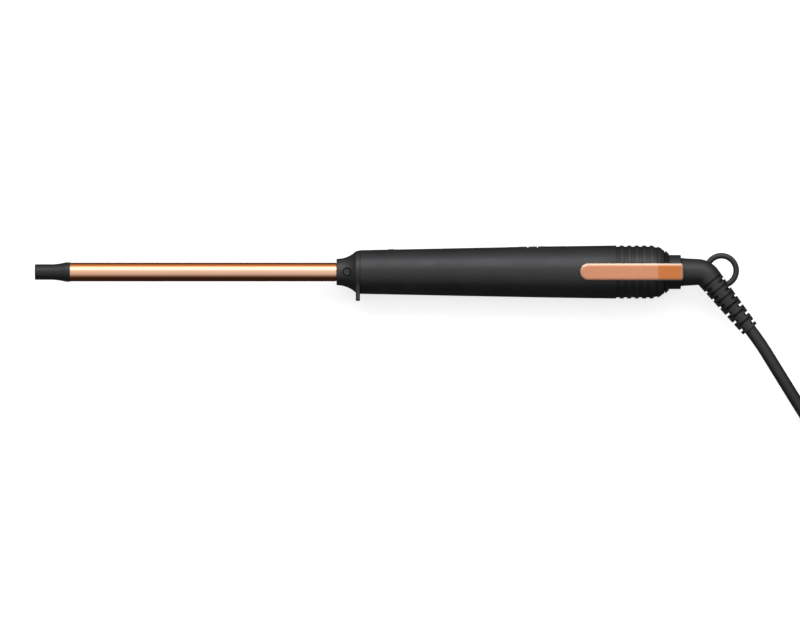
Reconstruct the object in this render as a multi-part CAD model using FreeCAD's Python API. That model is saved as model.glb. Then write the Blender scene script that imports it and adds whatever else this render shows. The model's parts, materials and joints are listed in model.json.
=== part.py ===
"""A slim wand-type curling iron with a swivelling mains cord, as an assembly of separate pieces.

Every piece is modelled on the iron's own axis: x runs from the tip along the axis, y points to the
side that carries the keys, and z points to the side that carries the trim strip.  The finished
pieces are then moved so that the origin is on the floor, under the middle of the iron lying on its
side.  The cord's route and its coil are given in that final frame, because they lie on the floor.
All lengths are in millimetres.
"""
import FreeCAD, Part
import math
import os

from FreeCAD import Vector

# ---- stations along the axis -------------------------------------------------------------------
TIP_END = 18.8            # the cool tip ends and the heated barrel begins
COLLAR_START = 160.9
COLLAR_END = 171.2
STAND_END = 173.42
SHELL_START = 173.44
SHELL_END = 310.1
TAIL_END = 338.2
NECK_END = 344.6
ELBOW_START = 344.7
BEND_START = 353.5

# ---- radii -------------------------------------------------------------------------------------
BARREL_R = 5.0
BARREL_HELD_R = 4.8       # turned down where the holder grips it inside the collar
BARREL_SEAT_R = 4.82      # the bore that the turned-down end sits in
BARREL_BORE_R = 4.2
TIP_R = 4.15
TIP_RIM_R = 5.2
COLLAR_FRONT_R = 7.05
COLLAR_REAR_R = 11.05
STAND_R = 11.6
STAND_FRONT_R = 11.1
SHELL_REAR_R = 14.17
SHELL_PROFILE = (         # station and radius of the handle's gently swelling body
    (SHELL_START, 11.68),
    (212.0, 12.46),
    (250.0, 13.22),
    (284.0, 13.81),
    (SHELL_END, SHELL_REAR_R),
)
TAIL_REAR_R = 9.74
NECK_R = 9.12
SHELL_WALL = 1.8
SPIGOT_R = 9.5            # the collar's rear spigot, which the stand ring and both shells sit on
SHAFT_R = 4.55
BUSH_BORE_R = 4.62
BUSH_R = 7.4

# ---- strain relief elbow -----------------------------------------------------------------------
BEND_ANGLE = 51.2         # degrees between the handle's axis and the strain relief
BEND_RADIUS = 7.4
ELBOW_FRONT_R = 7.5
ELBOW_BEND_R = 7.0
RELIEF_START_R = 6.68
RELIEF_END_R = 4.71
RELIEF_LENGTH = 35.5
LOOP_CENTRE = Vector(366.3, 0.8, 0)
LOOP_RING_R = 7.9
LOOP_WIRE_R = 1.55

# ---- cord --------------------------------------------------------------------------------------
CORD_D = 6.5
CORD_IN_RELIEF = 20.0     # how far the cord's jacket reaches into the strain relief

# ---- foot, keys and trim -----------------------------------------------------------------------
FOOT_REACH = 15.42        # from the axis to the face that the iron rests on
FOOT_SPREAD = 27.0        # degrees below the ring's widest point, where the foot leaves it
FOOT_BLEND_R = 14.0       # the hollow curve between the ring and the foot's upright sides
FOOT_EDGE_ROUND = 0.45
KEY_PITCH = 5.15
KEY_LENGTH = 4.6
KEY_HALF_WIDTH = 3.6
KEY_TRAVEL = 0.5
KEY_CENTRE_X = 265.55
KEY_NAMES = ("plus", "power", "minus")
TRIM_START = 290.3
TRIM_KNEE = 331.9
TRIM_END = 345.8
TRIM_HALF_WIDTH = 4.7
TRIM_FRONT_Z = 14.3
TRIM_KNEE_Z = 14.65
TRIM_REAR_Z = 10.3
TRIM_BEVEL = 0.7
PEG_STATIONS = (300.0, 324.0)

X_AXIS = Vector(1, 0, 0)
Y_AXIS = Vector(0, 1, 0)
Z_AXIS = Vector(0, 0, 1)
FAR = 400.0               # larger than the iron in every direction
SEAM_ANGLE = 37.0         # where round faces begin and end, in degrees from the y direction

RELIEF_DIRECTION = Vector(
    math.cos(math.radians(BEND_ANGLE)), -math.sin(math.radians(BEND_ANGLE)), 0
)
RELIEF_SIDE = Vector(-RELIEF_DIRECTION.y, RELIEF_DIRECTION.x, 0)
BEND_END = Vector(
    BEND_START + BEND_RADIUS * math.sin(math.radians(BEND_ANGLE)),
    -BEND_RADIUS * (1 - math.cos(math.radians(BEND_ANGLE))),
    0,
)
RELIEF_END = BEND_END + RELIEF_DIRECTION * RELIEF_LENGTH

# The final frame: the middle of the iron's own box without its cord, on the floor.
LENGTH = RELIEF_END.x + RELIEF_END_R * RELIEF_SIDE.x
LOWEST_Y = RELIEF_END.y - RELIEF_END_R * RELIEF_SIDE.y
TO_FINAL_FRAME = Vector(-LENGTH / 2, -(LOWEST_Y + SHELL_REAR_R) / 2, SHELL_REAR_R)

PIECES = {}


# ---- shape helpers -----------------------------------------------------------------------------
def rod(x0, x1, radius, y=0.0, z=0.0):
    """A cylinder along the axis direction."""
    return Part.makeCylinder(radius, x1 - x0, Vector(x0, y, z), X_AXIS)


def sleeve(x0, x1, outer, inner):
    return rod(x0, x1, outer).cut(rod(x0 - 1, x1 + 1, inner))


def block(x0, x1, y0, y1, z0, z1):
    return Part.makeBox(x1 - x0, y1 - y0, z1 - z0, Vector(x0, y0, z0))


def line(a, b):
    return Part.LineSegment(Vector(*a, 0), Vector(*b, 0)).toShape()


def arc(a, through, b):
    return Part.Arc(Vector(*a, 0), Vector(*through, 0), Vector(*b, 0)).toShape()


def turned(edges):
    """A solid of revolution about the axis, from edges in the (x, radius) plane.

    Its seam is turned away from the planes that the pieces are cut on.
    """
    face = Part.Face(Part.Wire(edges))
    face.rotate(Vector(0, 0, 0), X_AXIS, SEAM_ANGLE)
    return face.revolve(Vector(0, 0, 0), X_AXIS, 360)


def polygon_turned(points):
    closed = points + [points[0]]
    return turned([line(a, b) for a, b in zip(closed, closed[1:])])


def arc_middle(a, b, bulge):
    """The middle point of an arc from a to b that stands bulge off its chord, to the chord's left."""
    dx, dy = b[0] - a[0], b[1] - a[1]
    size = math.hypot(dx, dy)
    return (a[0] + b[0]) / 2 - dy / size * bulge, (a[1] + b[1]) / 2 + dx / size * bulge


def union(shapes):
    first, *rest = shapes
    return first.fuse(rest).removeSplitter() if rest else first


def cut_each(shape, tools):
    for tool in tools:
        shape = shape.cut(tool)
    return shape


def stadium(x0, x1, half_width, y0, y1):
    """A prism with round ends, long in x and standing in y."""
    ends = [
        Part.makeCylinder(half_width, y1 - y0, Vector(x, y0, 0), Y_AXIS)
        for x in (x0 + half_width, x1 - half_width)
    ]
    middle = block(x0 + half_width, x1 - half_width, y0, y1, -half_width, half_width)
    return union([middle] + ends)


def rounded_path(points, print_as=None):
    """Straight runs joined by tangent arcs, each as large as its two runs allow."""
    points = [Vector(*p) for p in points]
    edges, start, radii = [], points[0], []
    for before, corner, after in zip(points, points[1:], points[2:]):
        back, ahead = (before - corner), (after - corner)
        reach = 0.45 * min(back.Length, ahead.Length)
        back.normalize()
        ahead.normalize()
        half_turn = (math.pi - back.getAngle(ahead)) / 2
        radius = reach / math.tan(half_turn)
        radii.append(radius)
        first, last = corner + back * reach, corner + ahead * reach
        inward = (back + ahead).normalize()
        middle = corner + inward * (radius / math.cos(half_turn) - radius)
        edges.append(Part.LineSegment(start, first).toShape())
        edges.append(Part.Arc(first, middle, last).toShape())
        start = last
    edges.append(Part.LineSegment(start, points[-1]).toShape())
    if print_as:
        print(print_as, "radii", [round(r, 1) for r in radii])
    return Part.Wire(edges)


def tube(points, radius, print_as=None):
    path = rounded_path(points, print_as)
    start, toward = Vector(*points[0]), Vector(*points[1]) - Vector(*points[0])
    ring = Part.Wire(Part.makeCircle(radius, start, toward))
    solid = path.makePipeShell([ring], True, True)
    if print_as:
        share = abs(solid.Volume) / (math.pi * radius**2 * path.Length)
        print(print_as, "length", round(path.Length, 1), "volume share", round(share, 4))
    return solid


def shell_body(offset, x0=SHELL_START, x1=SHELL_END):
    """The handle's round body from x0 to x1, with its surface moved in by offset."""
    curve = Part.BSplineCurve()
    curve.interpolate([Vector(x, r - offset, 0) for x, r in SHELL_PROFILE])
    first, last = SHELL_PROFILE[0], SHELL_PROFILE[-1]
    body = turned([
        curve.toShape(),
        line((last[0], last[1] - offset), (last[0], 0)),
        line((last[0], 0), (first[0], 0)),
        line((first[0], 0), (first[0], first[1] - offset)),
    ])
    if (x0, x1) == (SHELL_START, SHELL_END):
        return body
    return body.common(rod(x0, x1, 2 * SHELL_REAR_R))


def cross_recess(x, z_top, depth, direction):
    """The cross slot of a screw whose axis is z; direction is +1 for a head that faces +z."""
    z0, z1 = sorted((z_top + direction, z_top - direction * depth))
    return union(
        [block(x - a, x + a, -b, b, z0, z1) for a, b in ((1.15, 0.22), (0.22, 1.15))]
    )


# ---- barrel and its heater ---------------------------------------------------------------------
def make_barrel():
    flare_start = (8.0, TIP_R)
    flare_end = (16.2, TIP_RIM_R - 0.05)
    PIECES["cool_tip"] = turned([
        line((0, 0), (0, TIP_R - 0.25)),
        line((0, TIP_R - 0.25), (0.25, TIP_R)),
        line((0.25, TIP_R), flare_start),
        arc(flare_start, arc_middle(flare_start, flare_end, -0.28), flare_end),
        line(flare_end, (16.5, TIP_RIM_R)),
        line((16.5, TIP_RIM_R), (TIP_END - 0.2, TIP_RIM_R)),
        line((TIP_END - 0.2, TIP_RIM_R), (TIP_END, TIP_RIM_R - 0.2)),
        line((TIP_END, TIP_RIM_R - 0.2), (TIP_END, BARREL_BORE_R - 0.05)),
        line((TIP_END, BARREL_BORE_R - 0.05), (26, BARREL_BORE_R - 0.05)),
        line((26, BARREL_BORE_R - 0.05), (26, 0)),
        line((26, 0), (0, 0)),
    ])
    bare_end, rear_end = COLLAR_START - 0.4, 176.0
    tube_outside = union([
        rod(TIP_END, bare_end, BARREL_R),
        rod(bare_end - 1, rear_end, BARREL_HELD_R),
    ])
    PIECES["barrel_tube"] = tube_outside.cut(rod(TIP_END - 1, rear_end + 1, BARREL_BORE_R))

    core_start, core_end, core_flat = 27.0, 158.0, 1.25
    core = rod(core_start, core_end, BARREL_BORE_R - 0.1)
    sensor_groove = block(90, FAR, -0.9, 0.9, -FAR, -2.7)
    PIECES["heater_core_upper"] = core.common(block(0, FAR, -FAR, FAR, core_flat, FAR))
    PIECES["heater_core_lower"] = core.common(
        block(0, FAR, -FAR, FAR, -FAR, -core_flat)
    ).cut(sensor_groove)
    PIECES["heater_insulation"] = block(28, 157, -3.0, 3.0, -1.2, 1.2).cut(
        block(0, FAR, -2.75, 2.75, -0.95, 0.95)
    )
    plate_length, plate_gap = 29.0, 2.0
    plates = [
        block(x, x + plate_length, -2.5, 2.5, -0.6, 0.6)
        for x in (31 + n * (plate_length + plate_gap) for n in range(4))
    ]
    PIECES["ptc_heaters"] = Part.makeCompound(plates)
    strips = []
    for side in (1, -1):
        z0, z1 = sorted((side * 0.62, side * 0.92))
        y0, y1 = sorted((side * 0.6, side * 2.2))
        strips.append(
            union([block(30, 156, -2.5, 2.5, z0, z1), block(156, 180, y0, y1, z0, z1)])
        )
    PIECES["electrode_strips"] = Part.makeCompound(strips)
    PIECES["thermistor"] = rod(92, 95, 0.6, z=-3.35)


# ---- collar, stand and the parts that hold the barrel ------------------------------------------
def make_collar():
    bore_r = 5.95
    screw_x, head_z, floor_z = 166.5, 7.9, 6.45
    front, rear = (COLLAR_START + 0.5, COLLAR_FRONT_R + 0.03), (COLLAR_END, COLLAR_REAR_R)
    collar = turned([
        line((COLLAR_START, 5.2), (COLLAR_START, COLLAR_FRONT_R - 0.2)),
        line((COLLAR_START, COLLAR_FRONT_R - 0.2), (COLLAR_START + 0.2, COLLAR_FRONT_R)),
        line((COLLAR_START + 0.2, COLLAR_FRONT_R), front),
        arc(front, arc_middle(front, rear, -0.98), rear),
        line(rear, (COLLAR_END, SPIGOT_R)),
        line((COLLAR_END, SPIGOT_R), (179.0, SPIGOT_R)),
        line((179.0, SPIGOT_R), (179.0, 7.9)),
        line((179.0, 7.9), (172.0, 7.9)),
        line((172.0, 7.9), (172.0, bore_r)),
        line((172.0, bore_r), (162.4, bore_r)),
        line((162.4, bore_r), (162.4, 5.2)),
        line((162.4, 5.2), (COLLAR_START, 5.2)),
    ])
    holder = union([
        sleeve(164.2, 172.0, 5.9, BARREL_SEAT_R),
        sleeve(172.0, 174.0, 7.85, BARREL_SEAT_R),
    ])
    screws = []
    for side in (1, -1):
        axis = Vector(0, 0, side)
        collar = collar.cut(
            Part.makeCylinder(2.3, 9, Vector(screw_x, 0, side * floor_z), axis)
        ).cut(Part.makeCylinder(1.05, 9, Vector(screw_x, 0, side * 5.5), axis))
        holder = holder.cut(Part.makeCylinder(1.0, 9, Vector(screw_x, 0, side * 4), axis))
        head = Part.makeCylinder(
            1.65, head_z - floor_z, Vector(screw_x, 0, side * floor_z), axis
        )
        shank = Part.makeCylinder(
            1.0, floor_z - 5.05, Vector(screw_x, 0, side * 5.05), axis
        )
        screws.append(
            union([head, shank]).cut(cross_recess(screw_x, side * head_z, 0.6, side))
        )
    PIECES["collar"] = collar
    PIECES["barrel_holder"] = holder
    PIECES["collar_screws"] = Part.makeCompound(screws)
    PIECES["barrel_insulator"] = sleeve(162.4, 164.2, 5.9, BARREL_SEAT_R)

    spread = math.radians(FOOT_SPREAD)
    root_r = STAND_R - 0.1
    foot_round = 1.2
    half_width = (root_r + FOOT_BLEND_R) * math.cos(spread) - FOOT_BLEND_R
    blend_end_y = -(root_r + FOOT_BLEND_R) * math.sin(spread)
    blend_middle = (
        blend_end_y + FOOT_BLEND_R * math.sin(spread / 2),
        half_width + FOOT_BLEND_R * (1 - math.cos(spread / 2)),
    )
    half_outline = [
        (-root_r * math.sin(spread), root_r * math.cos(spread)),
        blend_middle,
        (blend_end_y, half_width),
        (-FOOT_REACH, half_width),
    ]
    left = [Vector(COLLAR_END, y, z) for y, z in half_outline]
    right = [Vector(COLLAR_END, y, -z) for y, z in half_outline]
    outline = Part.Wire([
        Part.Arc(*left[:3]).toShape(),
        Part.makeLine(left[2], left[3]),
        Part.makeLine(left[3], right[3]),
        Part.makeLine(right[3], right[2]),
        Part.Arc(*reversed(right[:3])).toShape(),
        Part.makeLine(right[0], left[0]),
    ])
    foot = Part.Face(outline).extrude(X_AXIS * (STAND_END - COLLAR_END))
    sharp = [
        e
        for e in foot.Edges
        if abs(e.Length - (STAND_END - COLLAR_END)) < 1e-6
        and e.CenterOfMass.y < -FOOT_REACH + 0.1
    ]
    foot = foot.makeFillet(foot_round, sharp)
    foot = foot.makeFillet(FOOT_EDGE_ROUND, [
        e
        for e in foot.Edges
        if e.CenterOfMass.y < -FOOT_REACH + 1e-3 and e.Length > half_width
    ])
    ring = polygon_turned([
        (COLLAR_END, 0),
        (COLLAR_END, STAND_FRONT_R),
        (COLLAR_END + 2.0, STAND_R),
        (STAND_END, STAND_R),
        (STAND_END, 0),
    ])
    ring = union([ring, foot])
    PIECES["stand_ring"] = ring.cut(rod(COLLAR_END - 1, STAND_END + 1, SPIGOT_R + 0.02))


# ---- handle ------------------------------------------------------------------------------------
BOSS_Y = -6.5
BOSS_STATIONS = (211.0, 298.0)
LENS_START, LENS_END, LENS_HALF_WIDTH = 188.5, 191.7, 1.1
PANEL_START, PANEL_END, PANEL_HALF_WIDTH = 252.9, 282.8, 5.35
BOARD_TOP, BOARD_THICK, BOARD_HALF_WIDTH = 5.8, 1.6, 8.0
BOARD_START, BOARD_END = 184.0, 290.0


def key_window(clearance):
    half_length = KEY_PITCH + KEY_LENGTH / 2 + clearance
    return stadium(
        KEY_CENTRE_X - half_length,
        KEY_CENTRE_X + half_length,
        KEY_HALF_WIDTH + clearance,
        7.0,
        FAR,
    )


def trim_plan(z0, z1, margin=0.0):
    """A prism of the strip's outline seen from above: a round front end and small rear corners."""
    half = TRIM_HALF_WIDTH + margin
    nose_x = TRIM_START + TRIM_HALF_WIDTH
    nose = Part.makeCylinder(half, z1 - z0, Vector(nose_x, 0, z0), Z_AXIS)
    straight = block(nose_x, TRIM_END + margin, -half, half, z0, z1)
    rear = [e for e in straight.Edges if e.CenterOfMass.x > TRIM_END - 1]
    upright = [e for e in rear if abs(e.Length - (z1 - z0)) < 1e-6]
    return union([nose, straight.makeFillet(1.0, upright)])


def side_prism(points, half_width):
    """A prism across the iron, from corners in the (x, z) plane."""
    outline = [Vector(x, -half_width, z) for x, z in points + points[:1]]
    return Part.Face(Part.makePolygon(outline)).extrude(Y_AXIS * (2 * half_width))


def make_trim():
    """The copper strip: level along the handle, then one slope down over the neck ring.

    Returns the room that the handle and the tail cap leave for it.
    """
    seat_z, slope_foot_z = 13.0, 9.0
    top = [
        (TRIM_START - 1, TRIM_FRONT_Z),
        (TRIM_KNEE, TRIM_KNEE_Z),
        (TRIM_END - 0.5, TRIM_REAR_Z),
        (TRIM_END + 1, TRIM_REAR_Z - 1),
    ]
    under = [
        (TRIM_END + 1, NECK_R - 1),
        (TAIL_END + 0.02, NECK_R - 1),
        (TAIL_END + 0.02, slope_foot_z),
        (330.0, seat_z),
        (TRIM_START - 1, seat_z),
    ]
    bar = side_prism(top + under, 20).common(trim_plan(0, 30))
    bar = bar.cut(rod(TAIL_END - 5, TRIM_END + 5, NECK_R + 0.03))
    bar = bar.makeChamfer(TRIM_BEVEL, [e for e in bar.Edges if is_upper_rim(e)])
    pegs = [Part.makeCylinder(0.9, 1.6, Vector(x, 0, 11.45), Z_AXIS) for x in PEG_STATIONS]
    PIECES["trim_strip"] = union([bar] + pegs)
    room = [
        (TRIM_START - 1, seat_z - 0.02),
        (330.0, seat_z - 0.02),
        (TAIL_END, slope_foot_z - 0.02),
        (TAIL_END + 1, slope_foot_z - 0.02),
        (TAIL_END + 1, 25),
        (TRIM_START - 1, 25),
    ]
    room = side_prism(room, 20).common(trim_plan(0, 30, margin=0.02))
    holes = [Part.makeCylinder(0.95, 4, Vector(x, 0, 11), Z_AXIS) for x in PEG_STATIONS]
    return [room] + holes


def is_upper_rim(edge):
    """Whether an edge of the strip lies round its upper face."""
    middle = edge.CenterOfMass
    if middle.x < TRIM_KNEE:
        return middle.z > TRIM_FRONT_Z - 0.1
    fall = (TRIM_KNEE_Z - TRIM_REAR_Z) / (TRIM_END - 0.5 - TRIM_KNEE)
    on_slope = middle.z > TRIM_KNEE_Z - (middle.x - TRIM_KNEE) * fall - 0.05
    return on_slope and abs(middle.y) > TRIM_HALF_WIDTH - 0.5


def make_handle(trim_seat):
    mouth_end, cavity_end, rear_spigot_end = 181.0, 306.0, 316.5
    outer = union([
        shell_body(0),
        rod(SHELL_END - 0.5, rear_spigot_end, 11.85),
    ])
    cavity = union([
        rod(SHELL_START - 1, mouth_end, SPIGOT_R + 0.02),
        shell_body(SHELL_WALL, mouth_end, cavity_end),
        rod(cavity_end, rear_spigot_end + 1, 10.3),
    ])
    whole = outer.cut(cavity)

    rails = [
        block(186, 288, y0, y1, z0, z1)
        for y0, y1 in ((3.0, BOARD_TOP - BOARD_THICK - 0.02), (BOARD_TOP + 0.02, 7.0))
        for z0, z1 in ((7.0, 12.0), (-12.0, -7.0))
    ]
    rails = union([r.common(shell_body(SHELL_WALL - 0.5)) for r in rails])
    whole = union([whole, rails])

    panel_outer = shell_body(-0.05).common(
        stadium(PANEL_START, PANEL_END, PANEL_HALF_WIDTH, 0, FAR)
    )
    panel = panel_outer.cut(shell_body(1.2)).cut(key_window(0.25))
    pocket = shell_body(-1).common(
        stadium(PANEL_START - 0.03, PANEL_END + 0.03, PANEL_HALF_WIDTH + 0.03, 0, FAR)
    ).cut(shell_body(1.22))
    PIECES["control_panel"] = panel
    lens = stadium(LENS_START, LENS_END, LENS_HALF_WIDTH, 9.3, FAR)
    PIECES["indicator_lens"] = lens.common(shell_body(-0.22))
    lens_hole = stadium(LENS_START - 0.03, LENS_END + 0.03, LENS_HALF_WIDTH + 0.03, 7, FAR)

    whole = cut_each(whole, [pocket, key_window(0.25), lens_hole] + trim_seat)

    front_r = SHELL_PROFILE[0][1]
    front_chamfer = polygon_turned([
        (SHELL_START - 0.05, front_r - 0.25),
        (SHELL_START + 0.25, front_r + 0.05),
        (SHELL_START - 0.05, front_r + 0.05),
    ])
    seam = block(SHELL_START, SHELL_END, -FAR, FAR, -0.12, 0.12).cut(shell_body(0.25))
    whole = whole.cut(front_chamfer).cut(seam)

    front = whole.common(block(0, FAR, -FAR, FAR, 0, FAR))
    back = whole.common(block(0, FAR, -FAR, FAR, -FAR, 0))
    screws = []
    for x in BOSS_STATIONS:
        spot = Vector(x, BOSS_Y, 0)
        inside = shell_body(SHELL_WALL - 0.4)
        front_boss = Part.makeCylinder(2.8, 14, spot, Z_AXIS).common(inside)
        back_boss = Part.makeCylinder(3.4, 14, spot, -Z_AXIS).common(inside)
        front = union([front, front_boss]).cut(
            Part.makeCylinder(1.1, 7.0, spot, Z_AXIS)
        )
        back = union([back, back_boss]).cut(Part.makeCylinder(1.3, 14, spot, -Z_AXIS))
        back = back.cut(
            Part.makeCylinder(2.35, 14, Vector(x, BOSS_Y, -6.2), -Z_AXIS)
        )
        head = Part.makeCylinder(2.1, 1.5, Vector(x, BOSS_Y, -6.2), -Z_AXIS)
        shank = Part.makeCylinder(1.1, 12.0, Vector(x, BOSS_Y, -6.2), Z_AXIS)
        slot = cross_recess(x, -7.7, 0.9, -1)
        slot.translate(Vector(0, BOSS_Y, 0))
        screws.append(union([head, shank]).cut(slot))
    PIECES["handle_shell_front"] = front
    PIECES["handle_shell_back"] = back
    PIECES["handle_screws"] = Part.makeCompound(screws)


def tail_envelope(offset):
    """The tail cap's outer form before its grooves are cut, moved in by offset."""
    shoulder_x = 328.2
    shoulder = (shoulder_x, SHELL_REAR_R - offset)
    end = (TAIL_END, TAIL_REAR_R - offset)
    round_r = 13.5 - offset
    centre_r = SHELL_REAR_R - 13.5
    along = (TAIL_END - shoulder_x) / 2
    middle = (shoulder_x + along, centre_r + math.sqrt(round_r**2 - along**2))
    return turned([
        line((SHELL_END, SHELL_REAR_R - offset), shoulder),
        arc(shoulder, middle, end),
        line(end, (TAIL_END, 0)),
        line((TAIL_END, 0), (SHELL_END, 0)),
        line((SHELL_END, 0), (SHELL_END, SHELL_REAR_R - offset)),
    ])


def make_tail(trim_seat):
    groove_pitch, groove_width, groove_depth, groove_count = 4.0, 1.95, 0.58, 6
    grooves = [
        (SHELL_END + n * groove_pitch, groove_width, groove_depth)
        for n in range(groove_count)
    ]
    grooves += [(334.2, 1.5, 0.4), (335.7, 0.6, 1.0)]
    envelope = tail_envelope(0)
    cap = envelope
    for x, width, depth in grooves:
        skin = envelope.cut(tail_envelope(depth))
        cap = cap.cut(skin.common(block(x, x + width, -FAR, FAR, -FAR, FAR)))
    hollow = polygon_turned([
        (SHELL_END - 1, 0),
        (SHELL_END - 1, 11.9),
        (326.0, 11.9),
        (335.6, 8.8),
        (335.6, BUSH_R + 0.02),
        (TAIL_END + 1, BUSH_R + 0.02),
        (TAIL_END + 1, 0),
    ])
    PIECES["tail_cap"] = cut_each(cap, [hollow] + trim_seat)
    ring_outer = polygon_turned([
        (TAIL_END + 0.05, 0),
        (TAIL_END + 0.05, NECK_R),
        (NECK_END - 0.3, NECK_R),
        (NECK_END, NECK_R - 0.3),
        (NECK_END, 0),
    ])
    PIECES["neck_ring"] = ring_outer.cut(rod(TAIL_END - 1, NECK_END + 1, BUSH_R + 0.02))
    bush = union([rod(333.5, NECK_END, BUSH_R), rod(333.5, 335.5, 8.6)])
    PIECES["swivel_bush"] = bush.cut(rod(333, NECK_END + 1, BUSH_BORE_R))


# ---- electronics -------------------------------------------------------------------------------
def make_electronics():
    under, top = BOARD_TOP - BOARD_THICK, BOARD_TOP
    PIECES["main_board"] = block(
        BOARD_START, BOARD_END, under, top, -BOARD_HALF_WIDTH, BOARD_HALF_WIDTH
    )
    PIECES["film_capacitor"] = block(222, 235, under - 11, under, -3, 3)
    PIECES["electrolytic_capacitor"] = rod(240, 252, 4.0, y=under - 4.05)
    PIECES["triac"] = block(256, 260.6, under - 5, under, -2.2, 2.2)
    PIECES["power_resistor"] = rod(264, 272, 1.8, y=under - 1.9)
    PIECES["microcontroller"] = block(236, 241, top, top + 1.5, -3, 3)
    led_x = (LENS_START + LENS_END) / 2
    led = Part.makeCylinder(1.5, 1.9, Vector(led_x, top, 0), Y_AXIS)
    dome = Part.makeSphere(1.5, Vector(led_x, top + 1.9, 0))
    PIECES["status_led"] = union([led, dome.common(block(0, FAR, top + 1.9, FAR, -9, 9))])

    switches = []
    for n, name in enumerate(KEY_NAMES):
        x = KEY_CENTRE_X + (n - 1) * KEY_PITCH
        body = block(x - 2.1, x + 2.1, top, top + 1.8, -2.1, 2.1)
        switches.append(
            body.cut(Part.makeCylinder(1.15, 3, Vector(x, top + 0.3, 0), Y_AXIS))
        )
        PIECES["plunger_" + name] = Part.makeCylinder(
            1.0, 1.9, Vector(x, top + 1.0, 0), Y_AXIS
        )
        PIECES["button_" + name] = key(x, top + 2.9)
    PIECES["tact_switches"] = Part.makeCompound(switches)
    PIECES["thermal_fuse"] = rod(190, 200, 1.9, y=-0.5, z=3.5)
    PIECES["heater_leads"] = Part.makeCompound([
        tube([(180.1, 1.4, 0.77), (183, 1.4, 0.9), (186.5, -0.3, 3.2), (189.9, -0.5, 3.5)], 0.7),
        tube([(200.1, -0.5, 3.5), (205, -0.3, 3.6), (213, 0.6, 3.5), (213, under - 0.05, 3.5)], 0.7),
        tube([(180.1, -1.4, -0.77), (184, -1.4, -1.0), (196, -0.8, -3.4), (208, 0.5, -3.6),
              (213, 1.2, -3.5), (213, under - 0.05, -3.5)], 0.7),
    ])
    PIECES["sensor_leads"] = Part.makeCompound([
        tube([(95.05, y, -3.35), (150, y, -3.34), (181, y, -3.35), (186 + 2 * y, 1.0, -4.6),
              (188 + 4 * y, 2.4, -5.0), (188 + 4 * y, under - 0.05, -5.0)], 0.22)
        for y in (0.35, -0.35)
    ])


def key(x, stem_base):
    """One key cap with its stem and the flange that keeps it under the shell's wall."""
    half = KEY_LENGTH / 2
    cap = key_window(0).common(block(x - half, x + half, 9.6, FAR, -FAR, FAR))
    cap = cap.common(shell_body(-0.12))
    flange = block(x - half, x + half, 9.6, 10.3, -4.2, 4.2)
    stem = Part.makeCylinder(1.1, 10 - stem_base, Vector(x, stem_base, 0), Y_AXIS)
    return union([cap, flange, stem])


# ---- swivel ------------------------------------------------------------------------------------
def make_swivel():
    clip_x = 332.1
    socket_end = 352.0
    ring_starts = (318.2, 322.4)
    ring_width, ring_r = 2.2, 5.3
    shaft_start, holder_start, holder_end = 317.0, 316.8, 326.0
    shaft = rod(shaft_start, socket_end, SHAFT_R).cut(sleeve(clip_x - 0.05, clip_x + 1.05, 9, 4.0))
    PIECES["swivel_shaft"] = shaft.cut(rod(shaft_start - 1, socket_end + 1, 2.4))
    PIECES["slip_rings"] = Part.makeCompound(
        [sleeve(x, x + ring_width, ring_r, SHAFT_R + 0.02) for x in ring_starts]
    )
    clip = sleeve(clip_x, clip_x + 1, 6.2, 4.02)
    PIECES["retaining_clip"] = clip.cut(block(clip_x - 1, clip_x + 2, -1.6, 1.6, 0, 9))
    PIECES["cord_cores"] = Part.makeCompound(
        [rod(shaft_start + 1, socket_end - 0.1, 1.05, y=y) for y in (1.15, -1.15)]
    )
    holder_top = -7.5
    PIECES["brush_holder"] = block(
        holder_start, holder_end, -10.9, holder_top, -4.4, 4.4
    )
    brushes = []
    for x in ring_starts:
        x0, x1 = x + 0.25, x + ring_width - 0.25
        leaf = sleeve(x0, x1, ring_r + 0.55, ring_r + 0.15)
        leaf = leaf.common(block(x0, x1, -9, -2.6, -9, 9))
        foot = block(x0, x1, holder_top, -5.65, -0.6, 0.6)
        brushes.append(union([leaf, foot]))
    PIECES["contact_brushes"] = Part.makeCompound(brushes)
    PIECES["brush_leads"] = Part.makeCompound([
        tube([(286, 4.15, z), (286, 1.2, z), (292, 0.3, z), (303, -0.8, z * 1.05),
              (310, -4.5, z * 1.1), (313.5, -8.6, z * 1.1), (316.75, -8.6, z * 1.1)], 0.6)
        for z in (3.2, -3.2)
    ])


def relief_slot(at, deep, faces_z):
    """The material one row of slots takes out of the strain relief.

    Rows alternate: one has its two slots on the z sides and keeps webs at the flanks, and the next
    has them at the flanks and keeps webs on the z sides.
    """
    width = 1.3 if deep else 1.15
    web = 1.9 if faces_z else 2.4
    radius_here = RELIEF_START_R + (RELIEF_END_R - RELIEF_START_R) * at / RELIEF_LENGTH
    keep = CORD_D / 2 + 0.05 if deep else radius_here - 1.05
    start = BEND_END + RELIEF_DIRECTION * (at - width / 2)
    disc = Part.makeCylinder(radius_here + 0.6, width, start, RELIEF_DIRECTION)
    core = Part.makeCylinder(keep, width + 2, start - RELIEF_DIRECTION, RELIEF_DIRECTION)
    across = Z_AXIS if faces_z else RELIEF_SIDE
    web_slab = Part.makeBox(4 * width, 40, 2 * web)
    rotation = FreeCAD.Rotation(RELIEF_DIRECTION, across.cross(RELIEF_DIRECTION), across)
    centre = start + RELIEF_DIRECTION * (width / 2)
    corner = rotation.multVec(Vector(-2 * width, -20, -web))
    web_slab.Placement = FreeCAD.Placement(centre + corner, rotation)
    return disc.cut(core).cut(web_slab)


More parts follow.
